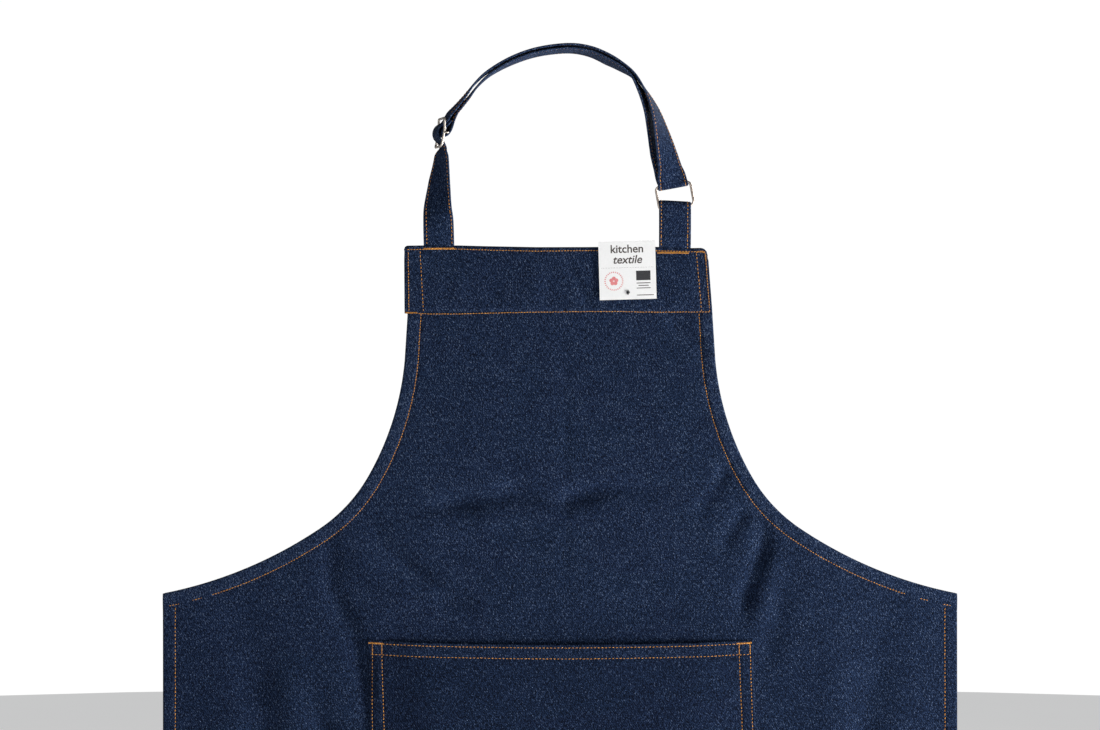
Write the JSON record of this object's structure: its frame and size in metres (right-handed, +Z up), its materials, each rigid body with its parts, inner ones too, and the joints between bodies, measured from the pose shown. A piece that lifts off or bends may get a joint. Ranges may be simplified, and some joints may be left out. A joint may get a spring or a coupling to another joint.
{
  "type": "bib apron",
  "caption": "Denim bib apron with a patch pocket, waist ties and a doubled neck strap adjusted by a metal slider and a ring.",
  "frame": {"origin": "the hang point: the middle of the underside of the neck loop's top, where a peg or a neck holds the apron", "axes": "+Z up, +X to the right of somebody who looks at the apron's front, -Y out of the front"},
  "size_m": [0.6982, 0.0324, 1.2516],
  "materials": {
    "denim": "indigo denim twill, unwashed",
    "strap_denim": "indigo denim, folded and sewn",
    "thread": "ochre topstitching thread",
    "ring_metal": "nickel plated wire",
    "slider_metal": "nickel plated",
    "card": "white coated card",
    "fastener": "dark nylon"
  },
  "bodies": {
    "neck_loop": {"neck_strap_left": "strap_denim", "neck_strap_outer": "strap_denim", "neck_strap_inner": "strap_denim", "neck_strap_turn": "strap_denim", "ring_strap": "strap_denim"},
    "slider": {"slider_frame": "slider_metal", "slider_bar": "slider_metal", "strap_wave": "strap_denim", "strap_end": "strap_denim"},
    "ring": {"strap_ring": "ring_metal"},
    "tag": {"hang_tag": "card"},
    "tie_left": {"waist_tie_left": "strap_denim", "tie_tack_left": "thread"},
    "tie_right": {"waist_tie_right": "strap_denim", "tie_tack_right": "thread"},
    "apron": {"armhole_hem_left": "denim", "armhole_hem_right": "denim", "bib_facing": "denim", "bottom_hem": "denim", "panel": "denim", "pocket": "denim", "pocket_hem": "denim", "side_hem_left": "denim", "side_hem_right": "denim", "stitch_armhole_left": "thread", "stitch_armhole_right": "thread", "stitch_bib_top": "thread", "stitch_facing": "thread", "stitch_pocket_hem_1": "thread", "stitch_pocket_hem_2": "thread", "stitch_pocket_left_1": "thread", "stitch_pocket_left_2": "thread", "stitch_pocket_right_1": "thread", "stitch_pocket_right_2": "thread", "tack_neck_left": "thread", "tack_neck_right": "thread", "tack_pocket_left": "thread", "tack_pocket_right": "thread", "tag_fastener": "fastener"}
  },
  "joints": [
    {"name": "bib_fold", "type": "hinge", "parent": "neck_loop", "child": "apron", "pos_m": [0, 0, -0.17], "axis": [1, 0, 0], "range_deg": [-90, 90]},
    {"name": "slider_slide", "type": "slide", "parent": "neck_loop", "child": "slider", "axis": [0.1219, 0, 0.9925], "range_m": [-0.01, 0.01]},
    {"name": "ring_swing", "type": "hinge", "parent": "neck_loop", "child": "ring", "pos_m": [0.09908, 0, -0.11505], "axis": [0.9799, 0, 0.1994], "range_deg": [-4, 4]},
    {"name": "tag_turn", "type": "hinge", "parent": "apron", "child": "tag", "pos_m": [0.0598, -0.0034, -0.21], "axis": [0, 1, 0], "continuous": true},
    {"name": "tie_left_swing", "type": "hinge", "parent": "apron", "child": "tie_left", "pos_m": [-0.334, 0.0031, -0.4945], "axis": [0, 1, 0], "range_deg": [-22, 100]},
    {"name": "tie_right_swing", "type": "hinge", "parent": "apron", "child": "tie_right", "pos_m": [0.334, 0.0031, -0.4945], "axis": [0, -1, 0], "range_deg": [-22, 100]}
  ]
}
